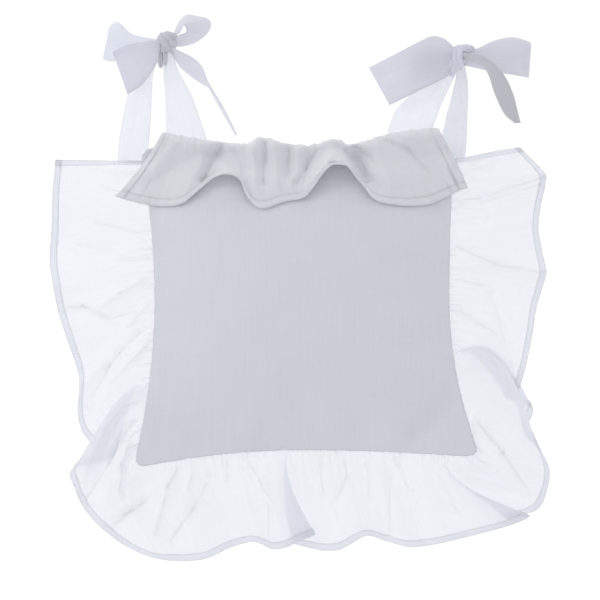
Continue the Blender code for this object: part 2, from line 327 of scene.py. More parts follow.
covers = flat_covers()
front_count = len(covers.faces) // 2
covers.verts.index_update()
rim = covers.verts.layers.deform.verify()
sewn_edge = {vert.index for vert in covers.verts if vert[rim].get(0)}
blow_up(covers)
covers.verts.index_update()
free_cloth = [vert for vert in covers.verts if vert.index not in sewn_edge]
for _ in range(COVER_SMOOTHING):
    bmesh.ops.smooth_vert(covers, verts=free_cloth, factor=0.5, use_axis_x=True,
                          use_axis_y=True, use_axis_z=True)
covers.faces.ensure_lookup_table()
for i, face in enumerate(covers.faces):
    for vert in face.verts:
        if i < front_count:
            vert.co.z = max(vert.co.z, SEAM_HEIGHT)
        else:
            vert.co.z = min(vert.co.z, SEAM_HEIGHT)
for vert in covers.verts:
    if vert.co.z < TABLE_CLEARANCE:
        vert.co.z = TABLE_CLEARANCE + 0.0004 * (1 + drift(5, vert.co.x * 90, vert.co.y * 90))


def cover(name, node, faces_from, faces_to, lift):
    """One panel of the swollen cover, with its weave laid along the body."""
    bm = covers.copy()
    bm.faces.ensure_lookup_table()
    others = [f for i, f in enumerate(bm.faces) if not faces_from <= i < faces_to]
    bmesh.ops.delete(bm, geom=others, context="FACES")
    for vert in bm.verts:
        vert.co.z += lift
    bmesh.ops.subdivide_edges(bm, edges=bm.edges, cuts=1, smooth=0.6, use_grid_fill=True)
    weave = bm.loops.layers.uv.new("cloth")
    for face in bm.faces:
        for loop in face.loops:
            loop[weave].uv = loop.vert.co.xy
    piece = add_piece(name, bm, "pillow", cover_cotton)
    give_thickness(piece, COVER_THICKNESS)
    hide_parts(node)


cover_tree = BVHTree.FromBMesh(covers)


def front_height(x, y):
    """Height of the swollen front, or of the seam outside it."""
    hit = cover_tree.ray_cast(Vector((x, y, 1.0)), Vector((0, 0, -1)))[0]
    return max(SEAM_HEIGHT - 0.002, hit.z) if hit else SEAM_HEIGHT - 0.002


cover("front_cover", "front_panel", 0, front_count, COVER_THICKNESS)
cover("back_cover", "back_panel", front_count, front_count * 2, -COVER_THICKNESS)

wadding = bpy.data.materials.new("wadding")
wadding.use_nodes = True
fluff = wadding.node_tree.nodes["Principled BSDF"]
tuft = wadding.node_tree.nodes.new("ShaderNodeTexNoise")
tuft.inputs["Scale"].default_value = 260.0
tuft.inputs["Detail"].default_value = 6.0
spot = wadding.node_tree.nodes.new("ShaderNodeTexCoord")
wadding.node_tree.links.new(spot.outputs["Object"], tuft.inputs["Vector"])
tufted = wadding.node_tree.nodes.new("ShaderNodeBump")
tufted.inputs["Distance"].default_value = 0.002
wadding.node_tree.links.new(tuft.outputs["Fac"], tufted.inputs["Height"])
wadding.node_tree.links.new(tufted.outputs["Normal"], fluff.inputs["Normal"])
fluff.inputs["Base Color"].default_value = (0.86, 0.85, 0.82, 1.0)
fluff.inputs["Roughness"].default_value = 1.0

covers.normal_update()
for vert in covers.verts:
    vert.co.xy *= 0.985
    swell = vert.co.z - SEAM_HEIGHT
    vert.co.z -= max(-abs(swell), min(abs(swell), 0.0016 * (1 if swell > 0 else -1)))
stuffing = add_piece("stuffing", covers, "pillow", wadding)
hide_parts("fill_pad")

# ---- Outer frill ----------------------------------------------------------------------------
# One long strip of sheer white cotton, gathered into the left, bottom and right seams between
# the covers. Its outer edge is turned under and stitched, and it falls over itself in folds.

MM = 0.001
HEM_WIDTH = 0.0045
FRILL_COLUMNS = 900
FRILL_ROWS = 34
HEM_ROWS = 4
END_COLUMNS = 4
FIRST_FOLD = 0.85         # how much of its first row the turned edge takes to fold over
HEM_DROP = 0.0006         # how far the turned layer lies below the top one
SHEER_THICKNESS = 0.00025
STITCH_ON_HEM = 0.85      # where the stitches lie on the hem's width
STITCH_LENGTH = 0.0024
STITCH_PITCH = 0.0032
STITCH_LIFT = 0.0003
THREAD_WIDTH, THREAD_HEIGHT = 0.00035, 0.00025
DARKEST_CREASE_SHADE = 0.4        # most painted shade that darkens the cloth in a crease, and how fast it grows per mm
CREASE_SHADE_PER_MM = 0.035
# Place on the seam (0 to 1 down the left, to 2 along the bottom, to 3 up the right), then the
# hem's x, y and height in mm, then how far the middle of the rib is pushed in x, y and height
FRILL_RIBS = [
    (0.035, -155.0, 87.0, 6.0, 0, 0, 0),
    (0.11, -157.0, 67.0, 4.0, 0, 0, 2),
    (0.20, -157.6, 43.0, 7.0, 0, 0, 0),
    (0.29, -158.8, 24.0, 3.5, 0, 0, 2),
    (0.37, -156.4, 7.0, 8.0, 0, 0, 1),
    (0.45, -153.3, -9.0, 4.5, 0, 0, 3),
    (0.53, -147.7, -26.0, 8.0, 0, 0, 0),
    (0.61, -141.3, -46.0, 3.0, 0, 2, 2),
    (0.655, -140.0, -57.0, 6.0, -2, 2, 2),
    (0.695, -141.3, -70.0, 3.0, -2, 3, 0),
    (0.725, -139.0, -83.0, 2.0, -2, 3, -1),
    (0.74, -131.0, -93.0, 1.6, -2, 3, -3),
    (0.75, -119.0, -101.0, 1.2, 0, 2, -6),
    (0.765, -144.0, -108.0, 8.0, 0, 4, 5),
    (0.79, -142.6, -120.0, 9.0, -3, 0, 6),
    (0.83, -137.0, -132.6, 5.0, -3, -1, 2),
    (0.88, -125.0, -145.6, 8.0, -2, 0, 5),
    (0.94, -110.0, -156.6, 4.0, -1, -2, 2),
    (1.00, -92.0, -163.6, 7.0, -2, -2, 4),
    (1.07, -75.0, -165.6, 5.0, 0, 0, 3),
    (1.14, -59.4, -163.6, 9.0, 0, 0, 5),
    (1.21, -46.4, -157.6, 5.0, 0, 0, 1),
    (1.27, -33.7, -153.6, 8.0, 0, 0, 3),
    (1.31, -27.0, -154.0, 9.0, 0, 0, 4),
    (1.345, -18.9, -157.9, 6.0, 0, 0, 2),
    (1.38, -9.8, -156.8, 7.0, 0, 0, 3),
    (1.42, -1.8, -152.8, 9.0, 0, 0, 5),
    (1.455, 8.1, -148.8, 8.0, -3, 0, 6),
    (1.462, -6.0, -154.0, 2.0, -4, 0, 1),
    (1.47, 10.0, -158.6, 2.0, 0, 0, -1),
    (1.49, 15.0, -159.2, 3.0, 0, 0, 0),
    (1.53, 23.7, -158.4, 6.0, 2, 0, -3),
    (1.57, 31.0, -154.4, 9.0, 0, 0, 1),
    (1.61, 38.8, -150.0, 9.0, 0, 0, 3),
    (1.64, 44.4, -150.0, 6.0, 0, 0, 0),
    (1.68, 53.0, -153.0, 4.0, 0, 0, -1),
    (1.73, 66.8, -156.4, 9.0, 0, 0, 3),
    (1.77, 78.0, -156.0, 5.0, 0, 0, 0),
    (1.81, 91.0, -153.3, 9.0, 0, 0, 3),
    (1.85, 111.0, -148.5, 6.0, 0, 0, 2),
    (1.885, 132.0, -142.4, 8.0, 0, 0, 4),
    (1.90, 143.0, -137.0, 9.0, -4, -1, 6),
    (1.905, 128.0, -139.0, 3.0, -3, 1, 1),
    (1.92, 146.0, -134.5, 2.5, 0, 0, -3),
    (1.945, 151.4, -129.0, 4.0, 0, 0, -3),
    (1.97, 153.4, -123.0, 8.0, 0, 0, 4),
    (2.00, 155.5, -112.6, 10.0, 0, 0, 5),
    (2.06, 155.0, -106.0, 6.0, 0, 2, 3),
    (2.14, 151.4, -98.0, 8.0, 2, 6, 4),
    (2.27, 146.5, -92.5, 10.0, 6, 17, 8),
    (2.30, 140.0, -86.0, 4.0, 5, 17, 2),
    (2.315, 144.0, -76.0, 3.0, 5, 14, -2),
    (2.32, 144.6, -69.0, 3.0, 4, 9, -3),
    (2.325, 129.0, -63.0, 2.0, 2, 4, -4),
    (2.34, 136.0, -58.0, 5.0, 2, 2, -1),
    (2.38, 139.6, -47.5, 8.0, 0, 1, 3),
    (2.43, 143.0, -33.6, 4.0, 0, 0, -1),
    (2.48, 145.4, -20.0, 8.0, 0, 0, 0),
    (2.53, 147.7, -6.0, 4.0, 0, 0, -2),
    (2.58, 151.0, 5.6, 7.0, 0, 0, 0),
    (2.62, 153.4, 17.0, 10.0, 0, 0, 4),
    (2.68, 151.0, 31.0, 4.0, 0, 0, 0),
    (2.74, 148.8, 45.0, 7.0, 0, 0, 2),
    (2.80, 150.6, 59.0, 4.0, 0, 0, 0),
    (2.86, 153.4, 75.0, 9.0, 0, 0, 4),
    (2.90, 150.0, 81.5, 7.0, 0, 0, 2),
    (2.935, 144.0, 88.0, 5.0, 0, 0, 2),
    (2.97, 136.7, 94.6, 6.0, 0, 1, 2),
]

sheer_cotton = cloth_finish("sheer_cotton", (0.955, 0.965, 0.995), 0.46, 0.51, 1300.0, 0.0004)


def curve(points, t):
    """The point at t, 0 to 1, on a smooth curve through evenly timed points."""
    last = len(points) - 1
    at = min(max(t, 0.0), 1.0) * last
    i = min(int(at), last - 1)
    f = at - i
    b, c = points[i], points[i + 1]
    a = points[i - 1] if i else b * 2 - c
    d = points[i + 2] if i + 2 <= last else c * 2 - b
    return 0.5 * (2 * b + (c - a) * f + (2 * a - 5 * b + 4 * c - d) * f * f
                  + (3 * b - a - 3 * c + d) * f * f * f)


def even_steps(points, count, size):
    """Times along a smooth curve that are evenly spaced by the part of it that size measures."""
    fine = count * 6
    spots = [size(curve(points, i / fine)) for i in range(fine + 1)]
    run = [0.0]
    for before, after in zip(spots, spots[1:]):
        run.append(run[-1] + (after - before).length)
    times, i = [], 0
    for step in range(count + 1):
        goal = run[-1] * step / count
        while i < fine - 1 and run[i + 1] < goal:
            i += 1
        share = (goal - run[i]) / max(1e-9, run[i + 1] - run[i])
        times.append((i + min(1.0, share)) / fine)
    return times


def seam_place(a):
    """Place on the side and bottom seams, with the outward direction."""
    a = min(max(a, 0.0), 3.0)
    if a <= 1:
        u, v, out = -1.0, 1 - 2 * a, Vector((-1, 0, 0))
    elif a <= 2:
        u, v, out = 2 * (a - 1) - 1, -1.0, Vector((0, -1, 0))
    else:
        u, v, out = 1.0, 2 * (a - 2) - 1, Vector((1, 0, 0))
    corner = exp(-(min(abs(a - 1), abs(a - 2)) / 0.10) ** 2)
    away = Vector((u, v, 0)).normalized()
    out = out.lerp(away, corner).normalized()
    x, y = body_xy(u * 0.985, v * 0.985)
    return Vector((x, y, SEAM_HEIGHT)), out


def gathers(a, t):
    """Height of the small pleats that the gathering makes, fading towards the hem."""
    grip = min(1.0, t / 0.05)
    fine = (1 - abs(drift(11, a * 46, t * 1.5))) ** 2 - 0.6
    fine *= 0.0034 * exp(-t / 0.20)
    middle = drift(12, a * 21 + 0.6 * drift(13, a * 6, t * 3), t * 1.6) * 0.0050
    middle *= t ** 0.4 * exp(-(t / 0.62) ** 2)
    broad = drift(14, a * 10, t * 1.2) * 0.0040 * t * (1.25 - t)
    return grip * (fine + middle + broad)


def frill_point(rib, t):
    """A point on one rib of the frill, t from the seam, 0, to the hem, 1."""
    a, hem, push = rib[0], Vector(rib[1:4]) * MM, Vector(rib[4:7]) * MM
    start, out = seam_place(a)
    reach = (hem.xy - start.xy).length
    near = start + out * reach * 0.30
    far = start.lerp(hem, 0.66)
    plan = ((1 - t) ** 3 * start + 3 * (1 - t) ** 2 * t * near + 3 * (1 - t) * t * t * far
            + t ** 3 * hem)
    plan += push * 4 * t * (1 - t)
    fall = 0.45 * t + 0.55 * t * t * (3 - 2 * t)
    height = start.z + (hem.z - start.z) * fall + push.z * 4 * t * (1 - t)
    return Vector((plan.x, plan.y, max(TABLE_CLEARANCE, height + gathers(a, t))))


def hemmed_sheet(columns, rows, point, flat, creases):
    """A sheet from a grid, point(s, t) for s across and t down, with its last edge and its
    two ends turned under. Along its creases, where the cloth doubles up, its colour is
    darkened: painted shade."""
    bm = bmesh.new()
    all_columns, all_rows = columns + 2 * END_COLUMNS, rows + HEM_ROWS
    bmesh.ops.create_grid(bm, x_segments=all_columns, y_segments=all_rows, size=1.0)
    across = bm.verts.layers.float.new("across")
    down = bm.verts.layers.float.new("down")
    painted_crease_shade = bm.verts.layers.float.new("painted_crease_shade")
    side_step, down_step = 0.004, 0.02
    for vert in bm.verts:
        column = round((vert.co.x + 1) / 2 * all_columns) - END_COLUMNS
        row = round((vert.co.y + 1) / 2 * all_rows)
        s, t = min(1.0, max(0.0, column / columns)), min(1.0, row / rows)
        spot_s, spot_t = s, t
        if column < 0:
            s = HEM_WIDTH / flat[0] * (-column - FIRST_FOLD) / (END_COLUMNS - FIRST_FOLD)
            spot_s = -s
        if column > columns:
            s = 1 - HEM_WIDTH / flat[0] * (column - columns - FIRST_FOLD) / (
                END_COLUMNS - FIRST_FOLD)
            spot_s = 2 - s
        if row > rows:
            t = 1 - HEM_WIDTH / flat[1] * (row - rows - FIRST_FOLD) / (HEM_ROWS - FIRST_FOLD)
            spot_t = 2 - t
        place = point(s, t)
        if (spot_s, spot_t) != (s, t):
            side = point(min(1, s + side_step), t) - point(max(0, s - side_step), t)
            fall = point(s, min(1, t + down_step)) - point(s, max(0, t - down_step))
            layers = (spot_s != s) + (spot_t != t)
            place += fall.cross(side).normalized() * HEM_DROP * layers
        vert.co = place
        vert[across], vert[down] = spot_s * flat[0], spot_t * flat[1]
        # The colour is darkened along the creases by this value: painted shade.
        lines = creased(place.x / MM, place.y / MM, creases)
        vert[painted_crease_shade] = min(DARKEST_CREASE_SHADE, CREASE_SHADE_PER_MM * abs(lines))
    weave = bm.loops.layers.uv.new("cloth")
    for face in bm.faces:
        for loop in face.loops:
            loop[weave].uv = (loop.vert[across], loop.vert[down])
    return bm


def stitch_row(name, body, path):
    """A line of stitches on a hem: short threads that lie on the cloth, one after another."""
    bm = bmesh.new()
    waiting = STITCH_PITCH / 2
    for before, after in zip(path, path[1:]):
        run = after - before
        while waiting < run.length:
            middle = before + run.normalized() * waiting
            turn = run.to_track_quat("X", "Z").to_matrix().to_4x4()
            thread = bmesh.ops.create_uvsphere(bm, u_segments=6, v_segments=4,
                                               radius=0.5)["verts"]
            bmesh.ops.scale(bm, verts=thread, vec=(STITCH_LENGTH, THREAD_WIDTH, THREAD_HEIGHT))
            bmesh.ops.transform(bm, verts=thread, matrix=turn)
            bmesh.ops.translate(bm, verts=thread, vec=middle + Vector((0, 0, STITCH_LIFT)))
            waiting += STITCH_PITCH
        waiting -= run.length
    return add_piece(name, bm, body, thread_cotton)


thread_cotton = bpy.data.materials.new("stitch_thread")
thread_cotton.use_nodes = True
thread_look = thread_cotton.node_tree.nodes["Principled BSDF"]
twist_place = thread_cotton.node_tree.nodes.new("ShaderNodeTexCoord")
twist = thread_cotton.node_tree.nodes.new("ShaderNodeTexNoise")
twist.inputs["Scale"].default_value = 1800.0
thread_cotton.node_tree.links.new(twist_place.outputs["Object"], twist.inputs["Vector"])
twist_tone = thread_cotton.node_tree.nodes.new("ShaderNodeValToRGB")
twist_tone.color_ramp.elements[0].color = (0.66, 0.66, 0.70, 1.0)
twist_tone.color_ramp.elements[1].color = (0.84, 0.84, 0.87, 1.0)
thread_cotton.node_tree.links.new(twist.outputs["Fac"], twist_tone.inputs["Fac"])
thread_cotton.node_tree.links.new(twist_tone.outputs["Color"], thread_look.inputs["Base Color"])
thread_look.inputs["Roughness"].default_value = 0.6


def creased(x, y, creases):
    """Height that soft creases add at a place; a crease is two ends, a width and a height."""
    total = 0.0
    for x0, y0, x1, y1, width, rise in creases:
        along_x, along_y = x1 - x0, y1 - y0
        share = ((x - x0) * along_x + (y - y0) * along_y) / (along_x ** 2 + along_y ** 2)
        if not -0.3 < share < 1.3:
            continue
        held = min(1.0, max(0.0, share))
        off = (x - x0 - along_x * held) ** 2 + (y - y0 - along_y * held) ** 2
        if off < 16 * width * width:
            total += rise * exp(-(sqrt(off) / width) ** 1.3)
    return total


# Soft valleys and ridges of the frill: both ends, width and height, in mm
FRILL_CREASES = [
    (-99, 11, -114, 3, 2.0, 2.8), (-114, 3, -127, -6, 2.2, 2.4), (-97, -4, -109, -18, 1.4, 1.6),
    (-98, 40, -128, 47, 2.0, -1.5), (-98, 62, -126, 70, 2.5, 1.8),
    (-97, 76, -120, 80, 1.5, 1.4), (-149, -6, -138, -5, 1.3, 1.8),
    (-138, -5, -121, -13, 1.5, 2.0), (-121, -13, -105, -9, 1.7, -2.2),
    (-98, 26, -112, 25, 1.2, 1.4), (-120, 30, -140, 33, 2.5, -1.6),
    (-94, -18, -102, -22, 1.4, -2.4), (-102, -22, -114, -35, 2.0, -3.0),
    (-114, -35, -121, -43, 2.4, -3.2), (-121, -43, -135, -68, 2.8, -3.2),
    (-98, -30, -119, -52, 2.0, 2.4), (-94, -63, -108, -67, 1.0, -2.0),
    (-99, -75, -107, -80, 1.8, -2.6), (-107, -80, -113, -89, 2.4, -3.2),
    (-113, -89, -120, -103, 2.8, -3.8), (-120, -103, -135, -125, 3.2, -3.4),
    (-101, -91, -109, -94, 1.6, 2.6), (-109, -94, -113, -104, 2.2, 3.4),
    (-113, -104, -114, -120, 2.6, 3.4), (-114, -120, -110, -131, 2.6, 2.4),
    (-97, -126, -118, -142, 1.8, -2.4), (-78, -107, -84, -118, 1.8, 2.6),
    (-84, -118, -92, -148, 2.4, 2.8), (-68, -108, -71, -120, 1.4, 1.8),
    (-60, -102, -59, -115, 1.2, 1.6), (-59, -115, -69, -133, 1.8, -2.2),
    (-69, -133, -83, -153, 2.2, -2.6), (-47, -100, -47, -114, 1.0, -1.6),
    (-33, -104, -20, -127, 1.8, 2.6), (-21, -116, -21, -150, 2.6, -2.6),
    (25, -95, 28, -112, 2.4, -3.6), (28, -112, 21, -128, 2.6, -2.8),
    (10, -100, 13, -122, 1.4, 1.8), (55, -108, 55, -148, 2.6, -2.8),
    (57, -100, 67, -121, 1.8, 2.4), (40, -102, 42, -124, 1.4, 1.6),
    (82, -104, 96, -132, 2.6, -2.6), (104, -112, 128, -120, 2.6, -3.4),
    (109, -77, 126, -97, 2.2, 3.4), (126, -97, 143, -124, 2.6, 3.4),
    (97, 61, 111, 62, 1.5, 2.0), (111, 62, 152, 76, 1.8, 3.0), (98, 78, 118, 84, 1.4, 1.6),
    (98, 58, 111, 59, 1.4, -2.0), (111, 59, 150, 72, 1.8, -3.0), (95, 33, 122, 21, 2.0, 2.6),
    (122, 21, 152, 16, 2.2, 2.2), (97, 48, 116, 50, 1.4, -1.6), (118, 5, 134, -50, 4.0, -3.6),
    (98, -8, 122, -22, 2.0, 2.4), (97, 12, 112, 8, 1.2, -1.8),
]

CREASE_GAIN = 1.4 * MM
FRILL_LENGTH = 1.02
FRILL_DEPTH = 0.062
ribs = [Vector(rib) for rib in FRILL_RIBS]
frill_times = even_steps(ribs, FRILL_COLUMNS, lambda rib: Vector(rib[1:4]))


def outer_frill_point(s, t):
    """A point on the outer frill, s along the hem and t from the seam to the hem."""
    at = s * FRILL_COLUMNS
    i = min(int(at), FRILL_COLUMNS - 1)
    time = frill_times[i] + (frill_times[i + 1] - frill_times[i]) * (at - i)
    place = frill_point(curve(ribs, time), t)
    place.z += creased(place.x / MM, place.y / MM, FRILL_CREASES) * CREASE_GAIN * min(1, t * 8)
    place.z = max(TABLE_CLEARANCE, place.z)
    return place


# The outer frill's colour is darkened along all of FRILL_CREASES, ridges and valleys alike:
# painted shade.
frill_mesh = hemmed_sheet(FRILL_COLUMNS, FRILL_ROWS, outer_frill_point,
                          (FRILL_LENGTH, FRILL_DEPTH), FRILL_CREASES)
outer = add_piece("gathered_frill", frill_mesh, "pillow", sheer_cotton)
give_thickness(outer, SHEER_THICKNESS)
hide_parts("outer_frill")
stitch_line = 1 - STITCH_ON_HEM * HEM_WIDTH / FRILL_DEPTH
frill_stitches = stitch_row("frill_hem_stitches", "pillow",
                            [outer_frill_point(i / 700, stitch_line) for i in range(701)])

# ---- Top frill ------------------------------------------------------------------------------
# A second hemmed strip of the same cloth, gathered into the top seam. It stands up out of the
# seam, folds over and lies on the front in three lobes, with two arches where it is drawn up.

TOP_COLUMNS = 320
TOP_ROWS = 44
TOP_LENGTH = 0.25
TOP_DEPTH = 0.058
FOLD_HEIGHT = 37.5
# Where each rib folds over (x, y), its hem (x, y), hem above the front, middle above the
# front, and how far the middle is pushed in x and y, in mm
TOP_RIBS = [
    (-87, 102.5, -116.4, 63.6, 3.0, 3.0, 2, 0),
    (-82, 102.0, -106.6, 60.5, 2.5, 5.0, 2, 0),
    (-76, 101.0, -91.4, 57.5, 2.0, 6.5, 1, 0),
    (-70, 99.8, -76.0, 58.3, 2.5, 9.0, 0, 0),
    (-64, 98.9, -65.7, 65.8, 5.0, 8.0, 0, 0),
    (-57, 98.0, -55.0, 74.5, 10.0, 4.0, 0, 0),
    (-49, 96.9, -46.0, 76.7, 13.0, 7.0, 0, 0),
    (-42, 96.4, -38.6, 73.4, 11.0, 8.0, 0, 0),
    (-37, 96.2, -35.4, 65.8, 6.0, 8.0, 0, 0),
    (-33, 96.3, -30.0, 58.0, 2.5, 9.0, 0, 0),
    (-27, 100.0, -23.0, 55.5, 2.0, 8.0, 0, 0),
    (-19, 98.8, -11.0, 59.8, 2.0, 6.5, 0, 0),
    (-10, 96.2, 0.5, 62.0, 3.0, 9.0, 0, 0),
    (1, 95.3, 7.0, 68.5, 7.0, 9.0, 0, 0),
    (9, 95.8, 12.5, 76.5, 12.0, 10.0, 0, 0),
    (14, 98.2, 17.0, 81.2, 16.0, 13.0, 0, 0),
    (19, 99.0, 21.0, 82.8, 17.0, 14.0, 0, 0),
    (24, 98.0, 28.0, 81.6, 16.0, 13.0, 0, 0),
    (29, 95.6, 33.0, 75.4, 11.0, 8.0, 0, 0),
    (35, 96.6, 38.5, 69.0, 6.0, 6.0, 0, 0),
    (42, 98.6, 46.4, 60.5, 3.0, 8.0, 0, 0),
    (50, 101.0, 61.6, 57.5, 2.0, 9.0, 0, 0),
    (60, 103.0, 78.3, 58.3, 2.0, 8.0, 0, 0),
    (70, 104.6, 90.0, 63.0, 2.5, 6.0, 0, 0),
    (78, 105.2, 97.5, 66.8, 3.0, 5.0, 0, 0),
    (85, 105.0, 103.5, 69.0, 4.0, 4.0, 1, 0),
]
TOP_CREASES = [
    (-50, 95, -61, 74, 2.4, -4.5), (-57, 96, -70, 70, 3.0, 1.6), (-79, 96, -92, 82, 4.0, 2.0),
    (-70, 88, -96, 70, 4.0, -2.2), (-23, 96, -24, 72, 2.6, -4.5), (-17, 95, -15, 68, 3.0, 2.0),
    (-31, 94, -28, 66, 3.0, 2.0), (-8, 92, -8, 78, 4.0, -6.5), (-2, 93, -6, 70, 3.0, 2.0),
    (5, 94, 2, 74, 2.5, -2.5), (32, 95, 42, 88, 2.0, -4.0), (44, 90, 56, 72, 4.0, 1.8),
    (19, 99, 19, 88, 4.0, 2.0), (17, 86, 9, 76, 2.0, 2.2), (9, 76, 2, 66, 2.0, 1.6),
    (9, 92, 3, 81, 2.2, -3.0), (3, 81, -4, 71, 2.2, -2.2), (25, 86, 31, 79, 2.0, 2.2),
    (31, 79, 43, 65, 2.0, 1.6), (33, 90, 39, 76, 3.6, -5.0), (37, 82, 48, 70, 2.2, -2.2),
    (-68, 63, -54, 74, 1.8, 1.2), (-50, 77, -41, 76, 1.8, 1.2), (-37, 72, -32, 61, 1.8, 1.4),
    (-62, 73, -52, 81, 2.0, -2.0), (-46, 83, -36, 80, 2.0, -1.6), (52, 98, 66, 93, 1.6, -2.6),
    (66, 93, 78, 80, 2.0, -2.8), (70, 88, 84, 66, 4.0, 1.6),
]

top_ribs = [Vector(rib) for rib in TOP_RIBS]
top_times = even_steps(top_ribs, TOP_COLUMNS, lambda rib: Vector(rib[2:4]))


def top_rib(rib):
    """Points down one rib: seam, heading, fold, and then over the front to the hem."""
    fold, hem = Vector(rib[0:2]), Vector(rib[2:4])
    push = Vector(rib[6:8])
    u = max(-0.985, min(0.985, fold.x * MM / (BODY_WIDTH / 2 + 0.002)))
    seam = Vector(body_xy(u, 0.985)) / MM
    points = [Vector((seam.x, seam.y, SEAM_HEIGHT / MM + 0.3)),
              Vector((fold.x, max(fold.y - 1.5, seam.y), 32.0)),
              Vector((fold.x, fold.y, FOLD_HEIGHT - 1.0))]
    for share, lift in ((0.10, None), (0.34, 0.8), (0.56, 1.0), (0.80, None), (1.0, 0.0)):
        plan = fold.lerp(hem, share) + push * 4 * share * (1 - share)
        ground = front_height(plan.x * MM, plan.y * MM) / MM
        if share == 0.10:
            height = max(FOLD_HEIGHT + 3.0, ground + rib[5] * 0.7)
        elif share == 0.80:
            height = ground + rib[4] * 0.6 + rib[5] * 0.4 + 0.8
        elif share == 1.0:
            height = ground + rib[4]
        else:
            height = ground + rib[5] * lift + 1.0
        points.append(Vector((plan.x, plan.y, height)))
    return points


top_rib_cache = {}


def top_frill_point(s, t):
    """A point on the top frill, s along the seam and t from the seam to the hem."""
    at = s * TOP_COLUMNS
    i = min(int(at), TOP_COLUMNS - 1)
    if i not in top_rib_cache:
        top_rib_cache[i] = top_rib(curve(top_ribs, top_times[i]))
    if i + 1 not in top_rib_cache:
        top_rib_cache[i + 1] = top_rib(curve(top_ribs, top_times[i + 1]))
    f = at - i
    place = curve(top_rib_cache[i], t)
    if f > 1e-6:
        place = place.lerp(curve(top_rib_cache[i + 1], t), f)
    grip = min(1.0, t / 0.08)
    pleat = drift(21, s * 42, t * 1.2) * 1.5 * exp(-((t - 0.25) / 0.28) ** 2)
    pleat += drift(22, s * 15, t * 1.6) * 1.6 * exp(-((t - 0.5) / 0.4) ** 2)
    place.z += grip * pleat
    place.y += drift(23, s * 52) * 1.1 * exp(-((t - 0.28) / 0.12) ** 2)
    if t > 0.3:
        place.z += creased(place.x, place.y, TOP_CREASES) * min(1.0, (t - 0.3) / 0.1)
    floor = front_height(place.x * MM, place.y * MM) / MM + 0.9
    if t > 0.35:
        place.z = max(place.z, floor)
    return place * MM


# The same cloth as the outer frill, given a lighter colour and less see-through so it reads bright
# over the shaded front: painted light.
top_painted_light_cotton = cloth_finish("top_frill_painted_light_cotton", (0.99, 0.98, 0.995), 0.12, 0.08, 1300.0, 0.0004)
# Its colour is darkened only along the top frill's valleys: painted shade.
top_mesh = hemmed_sheet(TOP_COLUMNS, TOP_ROWS, top_frill_point, (TOP_LENGTH, TOP_DEPTH),
                        [crease for crease in TOP_CREASES if crease[5] < 0])
top = add_piece("folded_top_frill", top_mesh, None, top_painted_light_cotton)
give_thickness(top, SHEER_THICKNESS)
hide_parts("top_frill", "top_frill_heading")
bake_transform(top)
stitch_line = 1 - STITCH_ON_HEM * HEM_WIDTH / TOP_DEPTH
top_stitches = stitch_row("top_hem_stitches", "top_frill",
                          [top_frill_point(i / 260, stitch_line) for i in range(261)])

# ---- Ties -----------------------------------------------------------------------------------
# Narrow strips of the same cloth as the covers, hemmed on both long edges, sewn into the top
# seam in pairs. Each pair is tied in a bow: two straps, a knot, two loops and two tails.

TIE_WIDTH = 0.026
KNOT_HEIGHT = 0.26        # middle of a knot above the table, in tie widths
TIE_ROWS = 18
TIE_THICKNESS = 0.0003
TIE_EDGE_ROLL = 0.0009    # how far the folded edges turn down

TIE_THREADS = 1400.0
TIE_NAP = 0.0005
# The ties are one cloth: strap_cotton is its own colour, and each finish below it is a darker,
# less see-through copy, painted shade for where the bows double up and lie in shadow.
strap_cotton = cloth_finish("strap_cotton", (0.945, 0.96, 0.995), 0.50, 0.38,
                            TIE_THREADS, TIE_NAP)
# Darker copy for the right outer strap: partly its doubled cloth, partly painted shade.
doubled_painted_shade_cotton = cloth_finish("doubled_painted_shade_cotton", (0.92, 0.93, 0.965), 0.42, 0.25,
                              TIE_THREADS, TIE_NAP)
# Darker copy for the bows' loops and tails: painted shade.
bow_painted_shade_cotton = cloth_finish("bow_painted_shade_cotton", (0.905, 0.905, 0.95), 0.32, 0.12,
                          TIE_THREADS, TIE_NAP)
shaded_cotton = cloth_finish("shaded_tie_cotton", (0.74, 0.735, 0.75), 0.12, 0.0,
                             TIE_THREADS, TIE_NAP)
# Darker copy for the right knot: painted shade.
right_knot_painted_shade_cotton = cloth_finish("right_knot_painted_shade_cotton", (0.81, 0.80, 0.87), 0.0, 0.0,
                           TIE_THREADS, TIE_NAP)
# Darkest copy for the left knot: painted shade.
left_knot_painted_shade_cotton = cloth_finish("left_knot_painted_shade_cotton", (0.68, 0.67, 0.71), 0.0, 0.0,
                            TIE_THREADS, TIE_NAP)


